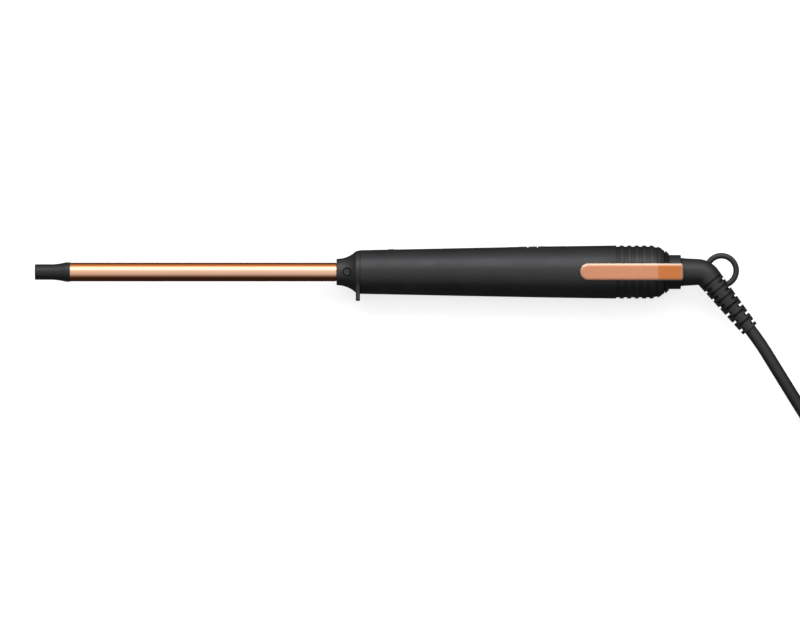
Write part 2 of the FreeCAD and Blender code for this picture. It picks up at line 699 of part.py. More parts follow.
def make_elbow():
    def ring_at(centre, direction, radius):
        return Part.Wire(Part.makeCircle(radius, centre, direction))

    front = polygon_turned([
        (ELBOW_START, 0),
        (ELBOW_START, ELBOW_FRONT_R),
        (ELBOW_START + 1.3, ELBOW_FRONT_R),
        (ELBOW_START + 1.5, ELBOW_FRONT_R - 0.15),
        (BEND_START, ELBOW_BEND_R),
        (BEND_START, 0),
    ])
    bend_centre = Vector(BEND_START, -BEND_RADIUS, 0)
    rings, steps = [], 6
    for n in range(steps + 1):
        angle = math.radians(BEND_ANGLE * n / steps)
        centre = bend_centre + Vector(math.sin(angle), math.cos(angle), 0) * BEND_RADIUS
        direction = Vector(math.cos(angle), -math.sin(angle), 0)
        radius = ELBOW_BEND_R + (RELIEF_START_R - ELBOW_BEND_R) * n / steps
        rings.append(ring_at(centre, direction, radius))
    bend = Part.makeLoft(rings, True, False)
    relief = Part.makeCone(
        RELIEF_START_R, RELIEF_END_R, RELIEF_LENGTH, BEND_END, RELIEF_DIRECTION
    )
    row_gap, first_row = 2.75, 2.9
    for row in range(12):
        slot = relief_slot(first_row + row * row_gap, deep=row >= 6, faces_z=row % 2 == 0)
        relief = relief.cut(slot)
    bore_start = RELIEF_END - RELIEF_DIRECTION * CORD_IN_RELIEF
    bore = Part.makeCylinder(
        CORD_D / 2, CORD_IN_RELIEF + 5, bore_start, RELIEF_DIRECTION
    )
    loop = Part.makeTorus(LOOP_RING_R, LOOP_WIRE_R, LOOP_CENTRE, Z_AXIS)
    elbow = union([front, bend, relief, loop])
    elbow = elbow.cut(rod(ELBOW_START - 1, 352.0, SHAFT_R + 0.01)).cut(bore)
    PIECES["cord_elbow"] = elbow


# ---- cord, coil and plug, in the final frame ---------------------------------------------------
COIL_CENTRE = (277.4, -69.4)
COIL_OUTER_R = 51.4
COIL_INNER_R = 25.1
STRAP_THICK = 0.8
COIL_TOP = 13.1
CORD_ROUTE = [
    (176.39, -5.25, 14.17),
    (191.0, -22.6, 14.17),
    (204.2, -43.9, 11.4),
    (217.9, -65.8, 6.3),
    (229.6, -83.6, 3.9),
    (239.5, -99.6, 4.0),
]
TAIL_ROUTE = [
    (321.6, -66.0, 10.6),
    (322.6, -48.0, 10.3),
    (322.4, -27.0, 3.6),
    (312.4, -9.2, 3.3),
    (295.2, 0.8, 4.6),
    (279.0, 1.1, 6.85),
]
PLUG_Y = 1.1
PLUG_HALF_THICK = 6.85
PLUG_FACE_X = 240.0
PIN_SPACING = 18.6
PIN_R = 2.0
PIN_SLEEVE_R = 1.75
PIN_SLEEVE_BORE_R = 1.4
PIN_LENGTH = 19.0


def make_cord():
    PIECES["mains_cord"] = tube(CORD_ROUTE, CORD_D / 2, "mains_cord")
    PIECES["cord_tail"] = tube(TAIL_ROUTE, CORD_D / 2, "cord_tail")
    base = Vector(*COIL_CENTRE, STRAP_THICK)
    height = COIL_TOP - STRAP_THICK
    ring = Part.makeCylinder(COIL_OUTER_R, height, base)
    ring = ring.makeFillet(3.0, [e for e in ring.Edges if e.Length > 50 and e.Closed])
    PIECES["cord_coil"] = ring.cut(Part.makeCylinder(COIL_INNER_R, height, base))
    half = 4.0
    middle_x, low_y = COIL_CENTRE[0], COIL_CENTRE[1] - COIL_OUTER_R
    high_y = COIL_CENTRE[1] - COIL_INNER_R + STRAP_THICK
    outside = block(
        middle_x - half, middle_x + half, low_y - STRAP_THICK, high_y, 0, COIL_TOP + STRAP_THICK
    )
    PIECES["coil_strap"] = outside.cut(
        block(middle_x - 9, middle_x + 9, low_y, high_y - STRAP_THICK, STRAP_THICK, COIL_TOP)
    ).cut(PIECES["cord_coil"])


def make_plug():
    """A flat two-pin mains plug lying on its broad side, with its pins towards -x."""
    half_width, body_end, relief_end = 17.6, 270.0, 286.0
    corners = [
        (PLUG_FACE_X, PLUG_Y - half_width + 4.5),
        (PLUG_FACE_X + 7.0, PLUG_Y - half_width),
        (PLUG_FACE_X + 17.0, PLUG_Y - half_width + 1.5),
        (body_end, PLUG_Y - 7.5),
    ]
    mirrored = [(x, 2 * PLUG_Y - y) for x, y in reversed(corners)]
    outline = [Vector(x, y, 0) for x, y in corners + mirrored + corners[:1]]
    body = Part.Face(Part.makePolygon(outline)).extrude(Z_AXIS * (2 * PLUG_HALF_THICK))
    body = body.makeFillet(1.6, body.Edges)
    middle = Vector(body_end - 2, PLUG_Y, PLUG_HALF_THICK)
    relief = Part.makeCone(5.9, 4.3, relief_end - body_end + 2, middle, X_AXIS)
    bore = rod(279.0, relief_end + 1, CORD_D / 2, y=PLUG_Y, z=PLUG_HALF_THICK)
    body = union([body, relief]).cut(bore)
    for x in (254.0, 257.5, 261.0, 264.5):
        y0, y1 = PLUG_Y - 6.5, PLUG_Y + 6.5
        body = body.cut(block(x, x + 1.5, y0, y1, 2 * PLUG_HALF_THICK - 0.6, FAR))
        body = body.cut(block(x, x + 1.5, y0, y1, -FAR, 0.6))
    for x, floor_r in ((273.5, 4.7), (277.0, 4.3), (280.5, 3.95)):
        ring = rod(x, x + 1.4, 9, PLUG_Y, PLUG_HALF_THICK)
        body = body.cut(ring.cut(rod(x, x + 1.4, floor_r, PLUG_Y, PLUG_HALF_THICK)))
    pins, sleeves = [], []
    for side in (1, -1):
        y = PLUG_Y + side * PIN_SPACING / 2
        base_x, sleeve_x = PLUG_FACE_X + 6.0, PLUG_FACE_X - 10.0
        tip_x = PLUG_FACE_X - PIN_LENGTH
        pin = union([
            rod(sleeve_x - 0.1, base_x, PIN_SLEEVE_BORE_R, y, PLUG_HALF_THICK),
            rod(tip_x, sleeve_x, PIN_R, y, PLUG_HALF_THICK),
        ])
        tip = min(pin.Edges, key=lambda e: e.CenterOfMass.x)
        pins.append(pin.makeFillet(0.9, [tip]))
        cover = rod(sleeve_x, PLUG_FACE_X, PIN_SLEEVE_R, y, PLUG_HALF_THICK)
        sleeves.append(cover.cut(rod(sleeve_x - 1, base_x, PIN_SLEEVE_BORE_R, y, PLUG_HALF_THICK)))
        body = body.cut(rod(PLUG_FACE_X - 1, base_x, PIN_SLEEVE_BORE_R, y, PLUG_HALF_THICK))
    PIECES["plug_body"] = body
    PIECES["plug_pins"] = Part.makeCompound(pins)
    PIECES["pin_sleeves"] = Part.makeCompound(sleeves)


IN_FINAL_FRAME = (
    "mains_cord",
    "cord_tail",
    "cord_coil",
    "coil_strap",
    "plug_body",
    "plug_pins",
    "pin_sleeves",
)


def main():
    make_barrel()
    make_collar()
    trim_seat = make_trim()
    make_handle(trim_seat)
    make_tail(trim_seat)
    make_electronics()
    make_swivel()
    make_elbow()
    make_cord()
    make_plug()
    os.makedirs("parts", exist_ok=True)
    for name, shape in PIECES.items():
        if name not in IN_FINAL_FRAME:
            shape = shape.copy()
            shape.translate(TO_FINAL_FRAME)
        solids = shape.Solids
        if not solids or not all(s.isValid() and s.Volume > 0 for s in solids):
            raise ValueError(f"{name} isn't a set of valid solids")
        shape = solids[0] if len(solids) == 1 else Part.makeCompound(solids)
        shape.exportStep(os.path.join("parts", name + ".step"))
    print(len(PIECES), "pieces; shift", [round(c, 4) for c in TO_FINAL_FRAME])


main()
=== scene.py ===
"""The looks of a slim curling wand and its coiled mains cord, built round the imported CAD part.

Lengths are in metres.  X runs along the iron from the cool tip to the cord, Y points to the side
with the keys and Z points up from the floor.
"""
import json
import math

import bmesh
import bpy
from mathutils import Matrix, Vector


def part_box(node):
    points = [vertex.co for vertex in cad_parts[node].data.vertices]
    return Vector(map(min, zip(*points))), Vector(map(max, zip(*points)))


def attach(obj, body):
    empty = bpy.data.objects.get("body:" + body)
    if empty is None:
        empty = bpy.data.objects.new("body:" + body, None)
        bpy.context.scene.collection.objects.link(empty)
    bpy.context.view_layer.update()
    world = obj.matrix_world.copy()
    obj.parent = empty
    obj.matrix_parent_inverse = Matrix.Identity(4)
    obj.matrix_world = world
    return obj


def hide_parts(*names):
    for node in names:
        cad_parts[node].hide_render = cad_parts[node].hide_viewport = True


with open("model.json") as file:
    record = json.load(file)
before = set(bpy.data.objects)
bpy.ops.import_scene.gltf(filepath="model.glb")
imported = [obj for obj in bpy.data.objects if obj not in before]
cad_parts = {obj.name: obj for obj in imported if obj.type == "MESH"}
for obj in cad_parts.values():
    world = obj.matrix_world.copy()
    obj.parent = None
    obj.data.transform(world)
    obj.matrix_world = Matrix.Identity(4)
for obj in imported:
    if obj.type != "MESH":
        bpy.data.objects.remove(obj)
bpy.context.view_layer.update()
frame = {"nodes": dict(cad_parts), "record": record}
nodes = frame["nodes"]
MM = 0.001

# The iron's own axis, which every round piece of it shares.
barrel_low, barrel_high = (Vector(c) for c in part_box("barrel_tube"))
AXIS = (barrel_low + barrel_high) / 2


# ---- camera, floor and light -------------------------------------------------------------------
VIEW_WIDTH = 0.4269          # what the picture's width covers at the height of the iron's axis
VIEW_CENTRE = (0.0022, -0.0160)
CAMERA_DISTANCE = 6.0
SENSOR_WIDTH = 36.0
CLIP_NEAR, CLIP_FAR = 0.05, 20.0
KEY_TILT = math.radians(47)  # how far the soft box leans from straight up towards +Y
KEY_DISTANCE = 1.1
KEY_SIZE = (1.7, 0.8)
KEY_POWER = 7.4
KEY_COLOUR = (0.97, 1.0, 1.06)
FLOOR_HALF = 3.0
FLOOR_GREY = 0.66
FLOOR_GLOW = 0.64


def make_camera():
    camera = bpy.data.cameras.new("camera")
    camera.sensor_width = SENSOR_WIDTH
    camera.lens = SENSOR_WIDTH * CAMERA_DISTANCE / VIEW_WIDTH
    camera.clip_start = CLIP_NEAR
    camera.clip_end = CLIP_FAR
    holder = bpy.data.objects.new("camera", camera)
    holder.location = (VIEW_CENTRE[0], VIEW_CENTRE[1], AXIS.z + CAMERA_DISTANCE)
    bpy.context.collection.objects.link(holder)
    bpy.context.scene.camera = holder


def area_light(name, place, aim, size, power, colour):
    light = bpy.data.lights.new(name, "AREA")
    light.shape = "RECTANGLE"
    light.size, light.size_y = size
    light.energy = power
    light.color = colour
    holder = bpy.data.objects.new(name, light)
    holder.location = place
    holder.rotation_euler = (Vector(aim) - Vector(place)).to_track_quat("-Z", "Y").to_euler()
    holder.visible_camera = False
    bpy.context.collection.objects.link(holder)


def room_glow(tree, direction, lean, fades_out_at, dimmest, brightest):
    """A room light's strength, brightest in the direction that leans from +Z towards +Y.

    It fades to dimmest where the cosine of the angle from that direction is fades_out_at.
    """
    nearness = tree.nodes.new("ShaderNodeVectorMath")
    nearness.operation = "DOT_PRODUCT"
    nearness.inputs[1].default_value = (0.0, math.sin(lean), math.cos(lean))
    tree.links.new(direction, nearness.inputs[0])
    glow = tree.nodes.new("ShaderNodeMapRange")
    glow.interpolation_type = "SMOOTHSTEP"
    tree.links.new(nearness.outputs["Value"], glow.inputs["Value"])
    for name, value in (
        ("From Min", fades_out_at),
        ("From Max", 1.0),
        ("To Min", dimmest),
        ("To Max", brightest),
    ):
        glow.inputs[name].default_value = value
    return glow.outputs["Result"]


def make_lights():
    """A long soft box on the key side of a white room whose light fades away from it."""
    target = (0.0, AXIS.y, AXIS.z)
    key_place = (
        0.0,
        AXIS.y + KEY_DISTANCE * math.sin(KEY_TILT),
        AXIS.z + KEY_DISTANCE * math.cos(KEY_TILT),
    )
    area_light("key_softbox", key_place, target, KEY_SIZE, KEY_POWER, KEY_COLOUR)

    world = bpy.data.worlds.new("room")
    bpy.context.scene.world = world
    world.use_nodes = True
    tree = world.node_tree
    background = tree.nodes["Background"]
    background.inputs["Color"].default_value = (1, 1, 1, 1)
    direction = tree.nodes.new("ShaderNodeTexCoord").outputs["Generated"]
    glows = [
        room_glow(tree, direction, math.radians(25), -0.08, 0.03, 1.0),
        room_glow(tree, direction, math.radians(80), 0.40, 0.0, 0.19),
    ]
    total = tree.nodes.new("ShaderNodeMath")
    for socket, glow in zip(total.inputs, glows):
        tree.links.new(glow, socket)
    tree.links.new(total.outputs["Value"], background.inputs["Strength"])


def make_floor():
    """A pale sheet lit through from below, as a light table is, so shadows stay faint."""
    mesh = bpy.data.meshes.new("floor")
    corners = [
        (FLOOR_HALF * x, FLOOR_HALF * y, 0) for x, y in ((-1, -1), (1, -1), (1, 1), (-1, 1))
    ]
    mesh.from_pydata(corners, [], [(0, 1, 2, 3)])
    floor = bpy.data.objects.new("floor", mesh)
    bpy.context.collection.objects.link(floor)
    sheet = Surface("floor", (FLOOR_GREY,) * 3, 0.9, specular=0.1, Emission_Strength=FLOOR_GLOW)
    sheet.shader.inputs["Emission Color"].default_value = (1, 1, 1, 1)
    floor.data.materials.append(sheet.material)
    floor.visible_glossy = False


# ---- materials ---------------------------------------------------------------------------------
# Painted shade: ambient occlusion takes the gloss out of grooves and recesses, so they read darker
# than the open surface.
CREVICE_REACH = 0.0016       # how near a wall has to be to take the gloss out of a groove
CREVICE_OPEN, CREVICE_SHUT = 0.85, 0.35   # the open share of sky at full and at least gloss
CREVICE_GLOSS = 0.15         # the share of the gloss that is left in a groove
EDGE_SAMPLES = 6
# The strip's sloping rear end also marks where its painted reflection, a deeper orange tint,
# begins.
TRIM_SLOPE = 0.0139          # the length of the strip's sloping rear end
POLISH_WIDTH = 0.00018       # between one polishing line and the next


class Surface:
    """A Principled material, with short ways to add the patterns that its surface has.

    Patterns are laid out in the piece's own coordinates, which are the row frame in metres.
    """

    def __init__(self, name, colour, roughness, metallic=0.0, specular=0.5, **sockets):
        self.material = bpy.data.materials.new(name)
        self.material.use_nodes = True
        self.tree = self.material.node_tree
        self.shader = self.tree.nodes["Principled BSDF"]
        self.colour = colour
        self.shader.inputs["Base Color"].default_value = (*colour, 1)
        self.shader.inputs["Roughness"].default_value = roughness
        self.shader.inputs["Metallic"].default_value = metallic
        self.shader.inputs["Specular IOR Level"].default_value = specular
        for socket, value in sockets.items():
            self.shader.inputs[socket.replace("_", " ")].default_value = value
        self.height = None

    def add(self, kind, settings=None, **inputs):
        """A node with its inputs set: a number or colour is a value, and a socket is a link."""
        node = self.tree.nodes.new(kind)
        for name, value in (settings or {}).items():
            setattr(node, name, value)
        for name, value in inputs.items():
            socket = node.inputs[name.replace("_", " ")]
            if isinstance(value, bpy.types.NodeSocket):
                self.tree.links.new(value, socket)
            else:
                socket.default_value = value
        return node

    def place(self, stretch=(1, 1, 1)):
        """The piece's own coordinates, each multiplied by stretch."""
        coordinates = self.add("ShaderNodeTexCoord")
        mapping = self.add("ShaderNodeMapping", Vector=coordinates.outputs["Object"])
        mapping.inputs["Scale"].default_value = stretch
        return mapping.outputs["Vector"]

    def ramp(self, value, first, last, low=0.0, high=1.0):
        """A socket that goes from low to high as the socket value goes from first to last."""
        node = self.add(
            "ShaderNodeMapRange",
            Value=value,
            From_Min=first,
            From_Max=last,
            To_Min=low,
            To_Max=high,
        )
        return node.outputs["Result"]

    def noise(self, size, detail=3.0, stretch=(1, 1, 1), contrast=(0.35, 0.65)):
        """Noise from 0 to 1 whose blotches are about size metres."""
        texture = self.add(
            "ShaderNodeTexNoise", Vector=self.place(stretch), Scale=1 / size, Detail=detail
        )
        return self.ramp(texture.outputs["Fac"], *contrast)

    def tint(self, amount, other):
        """Moves the base colour towards other by amount, a socket from 0 to 1."""
        mix = self.add("ShaderNodeMix", {"data_type": "RGBA"})
        self.tree.links.new(amount, mix.inputs["Factor"])
        colour_in, colour_out = mix.inputs[6], mix.inputs[7]
        base = self.shader.inputs["Base Color"]
        if base.is_linked:
            self.tree.links.new(base.links[0].from_socket, colour_in)
        else:
            colour_in.default_value = (*self.colour, 1)
        colour_out.default_value = (*other, 1)
        self.tree.links.new(mix.outputs[2], base)

    def tint_and_shade_at_a_slant(self, other, first, last):
        """Moves the base colour towards other as the surface turns away from the viewer, a painted
        shade at a slant.

        First and last are 1 less the cosine of the slant at which it starts and is complete.
        """
        facing = self.add("ShaderNodeLayerWeight", Blend=0.5)
        self.tint(self.ramp(facing.outputs["Facing"], first, last), other)

    def highlight_edges(self, other, first, last):
        """Painted highlight: moves the base colour towards other where the softened edges turn
        away from +Z.

        First and last are the cosines of the turn at which it starts and is complete.
        """
        parts = self.add("ShaderNodeSeparateXYZ", Vector=self.height)
        self.tint(self.ramp(parts.outputs["Z"], first, last), other)

    def tint_beyond(self, x, other):
        """Moves the base colour towards other past x metres, over the next millimetre."""
        parts = self.add("ShaderNodeSeparateXYZ", Vector=self.place())
        self.tint(self.ramp(parts.outputs["X"], x, x + MM), other)

    def shade_crevices(self, specular):
        """Painted shade: takes the gloss out of grooves and recesses found by ambient occlusion,
        so they read darker; specular is the gloss in the open.
        """
        sky = self.add(
            "ShaderNodeAmbientOcclusion", {"samples": EDGE_SAMPLES}, Distance=CREVICE_REACH
        )
        gloss = self.ramp(
            sky.outputs["AO"], CREVICE_SHUT, CREVICE_OPEN, specular * CREVICE_GLOSS, specular
        )
        self.tree.links.new(gloss, self.shader.inputs["Specular IOR Level"])

    def vary_roughness(self, amount, low, high):
        """Roughness from low to high as amount goes from 0 to 1."""
        level = self.ramp(amount, 0.0, 1.0, low, high)
        self.tree.links.new(level, self.shader.inputs["Roughness"])

    def bump(self, height, depth):
        """Raises the surface by depth metres where height is 1; calls add up."""
        node = self.add("ShaderNodeBump", Height=height, Distance=depth)
        if self.height is not None:
            self.tree.links.new(self.height, node.inputs["Normal"])
        self.height = node.outputs["Normal"]
        self.tree.links.new(self.height, self.shader.inputs["Normal"])

    def soften_edges(self, radius):
        """Catches light along sharp edges, as a moulded or polished edge does."""
        node = self.add("ShaderNodeBevel", {"samples": EDGE_SAMPLES}, Radius=radius)
        self.height = node.outputs["Normal"]
        self.tree.links.new(self.height, self.shader.inputs["Normal"])


def moulded(
    name, colour, roughness, grain=0.00025, depth=0.000012, edge=0.0002, specular=0.5, **sockets
):
    """Moulded plastic or rubber: spark-eroded grain, flow marks, handling shine, and painted shade
    in grooves, whose gloss is dimmed.
    """
    surface = Surface(name, colour, roughness, specular=specular, **sockets)
    # Painted shade: grooves and recesses lose their gloss and read darker.
    surface.shade_crevices(specular)
    if edge:
        surface.soften_edges(edge)
    blotch = surface.noise(0.02, detail=4.0)
    lighter = tuple(min(1.0, c * 1.3 + 0.001) for c in colour)
    surface.tint(blotch, lighter)
    surface.vary_roughness(surface.noise(0.011, detail=5.0), roughness - 0.05, roughness + 0.06)
    surface.bump(surface.noise(grain, detail=2.0, contrast=(0.2, 0.8)), depth)
    return surface


def metal(name, colour, roughness, along=(1, 1, 1), depth=0.000003, edge=0.0, streaks=0.2):
    """Metal, or a metallic coat, with polishing lines; along is small where the lines are long.

    Streaks is how much the gloss differs between the lines, as a share of the roughness.
    """
    surface = Surface(name, colour, roughness, metallic=1.0)
    if edge:
        surface.soften_edges(edge)
    lines = surface.noise(POLISH_WIDTH, detail=3.0, stretch=along, contrast=(0.3, 0.7))
    surface.vary_roughness(lines, roughness * (1 - streaks), roughness * (1 + streaks))
    surface.tint(surface.noise(0.03, detail=4.0), tuple(c * 0.93 for c in colour))
    surface.bump(lines, depth)
    return surface


def woven(name, colour, thread):
    """A plain weave of threads along X and Y, darker between them."""
    surface = Surface(name, colour, 0.85, Sheen_Weight=0.4)
    waves = []
    for axis in ("X", "Y"):
        wave = surface.add(
            "ShaderNodeTexWave",
            {"bands_direction": axis},
            Vector=surface.place(),
            Scale=1 / (thread * 20),
            Distortion=0.4,
        )
        waves.append(wave.outputs["Fac"])
    height = surface.add("ShaderNodeMath", {"operation": "MULTIPLY"})
    for socket, wave in zip(height.inputs, waves):
        surface.tree.links.new(wave, socket)
    surface.tint(height.outputs[0], tuple(c * 2.2 for c in colour))
    surface.bump(height.outputs[0], 0.00012)
    return surface


def copper_barrel():
    """A satin copper coat: lengthwise polish, faint blotches, and a deeper, darker colour seen
    aslant, in part the coat's depth and in part painted shade towards the barrel's edges.
    """
    surface = metal(
        "copper_barrel", (0.87, 0.51, 0.355), 0.24,
        along=(0.012, 1, 1), depth=6e-7, streaks=0.1,
    )
    surface.tint(surface.noise(0.05, detail=2.0, stretch=(0.6, 1, 1)), (0.82, 0.46, 0.31))
    # Painted shade: the barrel turns darker and deeper orange where it turns away from the camera,
    # towards its edges.
    surface.tint_and_shade_at_a_slant((0.88, 0.27, 0.07), 0.05, 0.28)
    return surface


def copper_trim():
    """A satin strip, brushed lengthwise, with a painted highlight along its edges and a painted
    reflection, a deeper orange, on its slope.
    """
    surface = metal(
        "copper_trim", (0.70, 0.31, 0.175), 0.26,
        along=(0.02, 1, 1), depth=2e-7, edge=0.0022, streaks=0.06,
    )
    slope_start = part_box("trim_strip")[1][0] - TRIM_SLOPE
    # Painted reflection: the sloping rear end is tinted deeper orange, for the different light its
    # tilted face catches.
    surface.tint_beyond(slope_start, (0.72, 0.235, 0.072))
    # Painted highlight: the strip's bevelled edges turn pale cream, standing in for the light they
    # catch.
    surface.highlight_edges((1.0, 0.84, 0.70), 0.94, 0.84)
    return surface


MATERIAL_MAKERS = {
    "tip_plastic": lambda: moulded("tip_plastic", (0.008, 0.008, 0.0085), 0.42, specular=0.36),
    "barrel_copper": copper_barrel,
    "trim_copper": copper_trim,
    "collar_plastic": lambda: moulded("collar_plastic", (0.010, 0.010, 0.0105), 0.42),
    "handle_plastic": lambda: moulded("handle_plastic", (0.0072, 0.0072, 0.0076), 0.42),
    "tail_plastic": lambda: moulded("tail_plastic", (0.0072, 0.0072, 0.0076), 0.40),
    "elbow_rubber": lambda: moulded("elbow_rubber", (0.009, 0.009, 0.0095), 0.44),
    "plug_plastic": lambda: moulded("plug_plastic", (0.011, 0.011, 0.0115), 0.42),
    "key_rubber": lambda: moulded("key_rubber", (0.014, 0.014, 0.015), 0.55),
    "panel_plastic": lambda: moulded("panel_plastic", (0.010, 0.010, 0.011), 0.18, depth=0.000002),
    "lens_plastic": lambda: moulded(
        "lens_plastic", (0.055, 0.007, 0.006), 0.2, depth=0.000002, Transmission_Weight=0.35
    ),
    "collar_screw_steel": lambda: metal("collar_screw_steel", (0.062, 0.062, 0.064), 0.46),
    "screw_steel": lambda: metal("screw_steel", (0.55, 0.55, 0.56), 0.32),
    "pin_nickel": lambda: metal("pin_nickel", (0.74, 0.72, 0.68), 0.22, along=(0.05, 1, 1)),
    "heater_aluminium": lambda: metal(
        "heater_aluminium", (0.76, 0.76, 0.78), 0.35, along=(0.02, 1, 1)
    ),
    "contact_brass": lambda: metal("contact_brass", (0.80, 0.60, 0.28), 0.28),
    "spring_steel": lambda: metal("spring_steel", (0.30, 0.30, 0.32), 0.35),
    "switch_steel": lambda: metal("switch_steel", (0.62, 0.62, 0.62), 0.30),
    "fuse_steel": lambda: metal("fuse_steel", (0.62, 0.60, 0.56), 0.30),
}


def inner_material(slot):
    """A moulded or coated finish in the record's colour, for pieces inside the handle."""
    colour = tuple(slot["base_color"][:3])
    return moulded(slot["slot"], colour, 0.5, edge=0.0)


def cord_material():
    """A flexible jacket: satin, with faint extrusion lines and a little dust."""
    surface = moulded("cord_jacket", (0.011, 0.011, 0.0115), 0.42, grain=0.0006, edge=0.0)
    surface.tint(surface.noise(0.004, detail=5.0, contrast=(0.6, 0.9)), (0.03, 0.03, 0.03))
    return surface


def finish_cad_nodes():
    """Gives each CAD node its slot's material: one made here, or the record's colour."""
    slots = {s["slot"]: s for s in frame["record"]["materials"]}
    made = {}
    for part in frame["record"]["subparts"]:
        slot = part["material_slot"]
        if slot not in made:
            maker = MATERIAL_MAKERS.get(slot)
            surface = maker() if maker else inner_material(slots[slot])
            made[slot] = surface.material
        mesh = nodes[part["node"]].data
        mesh.materials.clear()
        mesh.materials.append(made[slot])


# ---- new pieces --------------------------------------------------------------------------------
ROUND_POINTS = 16            # round a bar's two ends together
RING_STEPS = 20              # along an open ring
MARK_SINK_MM = 0.1           # how far a mark's foot is inside the face that it stands on
MARK_EDGE_MM = 0.03
TICKS = 5
TICK_HALF_WIDTH_MM = 0.14


def add_piece(name, data, material, body):
    piece = bpy.data.objects.new(name, data)
    bpy.context.collection.objects.link(piece)
    piece.data.materials.append(material)
    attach(piece, body)
    return piece


def on_surface(node, x, z):
    """The height in Y of the CAD node's outer face over the given place."""
    _, place, _, _ = nodes[node].ray_cast(Vector((x, 1.0, z)), Vector((0, -1, 0)))
    return place.y


def bar(x, z, half_x, half_z):
    """The outline of a bar with round ends, long along the larger of its two halves."""
    radius = min(half_x, half_z)
    reach_x, reach_z = half_x - radius, half_z - radius
    outline = []
    for n in range(ROUND_POINTS):
        angle = math.tau * (n + 0.5) / ROUND_POINTS
        side_x, side_z = math.cos(angle), math.sin(angle)
        outline.append((
            x + math.copysign(reach_x, side_x) + radius * side_x,
            z + math.copysign(reach_z, side_z) + radius * side_z,
        ))
    return outline


def open_ring(x, z, inner, outer, gap_degrees):
    """The outline of a ring with a gap at its top, which is towards +Z."""
    step = (360 - 2 * gap_degrees) / RING_STEPS
    angles = [math.radians(90 + gap_degrees + n * step) for n in range(RING_STEPS + 1)]
    rim = [(x + outer * math.cos(a), z + outer * math.sin(a)) for a in angles]
    return rim + [(x + inner * math.cos(a), z + inner * math.sin(a)) for a in reversed(angles)]


def raised_marks(name, node, outlines, material, body, rise=0.1):
    """Thin raised shapes that follow the CAD node's outer face; outlines are (x, z) in mm."""
    mesh = bmesh.new()
    for outline in outlines:
        rings = []
        for lift in (-MARK_SINK_MM, rise):
            rings.append([
                mesh.verts.new((x * MM, on_surface(node, x * MM, z * MM) + lift * MM, z * MM))
                for x, z in outline
            ])
        lower, upper = rings
        mesh.faces.new(upper)
        for n in range(len(outline)):
            after = (n + 1) % len(outline)
            mesh.faces.new((lower[n], lower[after], upper[after], upper[n]))
    bmesh.ops.recalc_face_normals(mesh, faces=mesh.faces)
    data = bpy.data.meshes.new(name)
    mesh.to_mesh(data)
    mesh.free()
    marks = add_piece(name, data, material, body)
    edge = marks.modifiers.new("edge", "BEVEL")
    edge.width = MARK_EDGE_MM * MM
    edge.segments = 2
    edge.limit_method = "ANGLE"


def key_centres():
    """Each key's middle along X, in mm."""
    centres = {}
    for name in ("plus", "power", "minus"):
        low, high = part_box("button_" + name)
        centres[name] = (low[0] + high[0]) / 2 / MM
    return centres


def make_key_marks(material):
    """The plus, power and minus signs, each on its own key."""
    for name, centre_x in key_centres().items():
        z = AXIS.z / MM
        shapes = {
            "plus": [bar(centre_x, z, 1.05, 0.2), bar(centre_x, z, 0.2, 1.05)],
            "power": [
                open_ring(centre_x, z, 0.75, 1.1, 38),
                bar(centre_x, z + 0.75, 0.17, 0.65),
            ],
            "minus": [bar(centre_x, z, 1.05, 0.2)],
        }
        raised_marks(
            "mark_" + name, "button_" + name, shapes[name], material, "key_" + name
        )


def make_level_marks(material):
    """Five ticks on the control panel, behind the keys, each longer than the last."""
    low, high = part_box("control_panel")
    last_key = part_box("button_minus")[1][0] / MM
    room = high[0] / MM - last_key
    ticks = [
        bar(last_key + room * (0.24 + 0.13 * n), AXIS.z / MM, TICK_HALF_WIDTH_MM, 0.45 + 0.15 * n)
        for n in range(TICKS)
    ]
    raised_marks(
        "level_marks", "control_panel", ticks, material, "handle", rise=0.07
    )


# ---- cord --------------------------------------------------------------------------------------
CORD_DIAMETER = 0.0065
CORD_ROUTE_MM = [
    (176.39, -5.25, 14.17),
    (191.0, -22.6, 14.17),
    (204.2, -43.9, 11.4),
    (217.9, -65.8, 6.3),
    (229.6, -83.6, 3.9),
]
TAIL_ROUTE_MM = [
    (321.6, -66.0, 10.6),
    (322.6, -48.0, 10.3),
    (322.4, -27.0, 3.6),
    (312.4, -9.2, 3.3),
    (295.2, 0.8, 4.6),
    (279.0, 1.1, 6.85),
]
COIL_CENTRE_MM = (277.4, -69.4)
COIL_RINGS_MM = (48.0, 41.5, 35.0, 28.5, 31.75, 38.25, 44.75)   # each turn's radius, in order
LOWER_TURNS = 4
LAYER_HEIGHTS_MM = (4.05, 9.7)
CROSSING = 0.25              # the last share of each turn, where it moves to the next radius
COIL_ENTRY_DEGREES = 212.5
COIL_SWEEP_DEGREES = 6 * 360 + 147.5
POINTS_PER_TURN = 18


def smooth_step(t):
    t = min(1.0, max(0.0, t))
    return t * t * (3 - 2 * t)


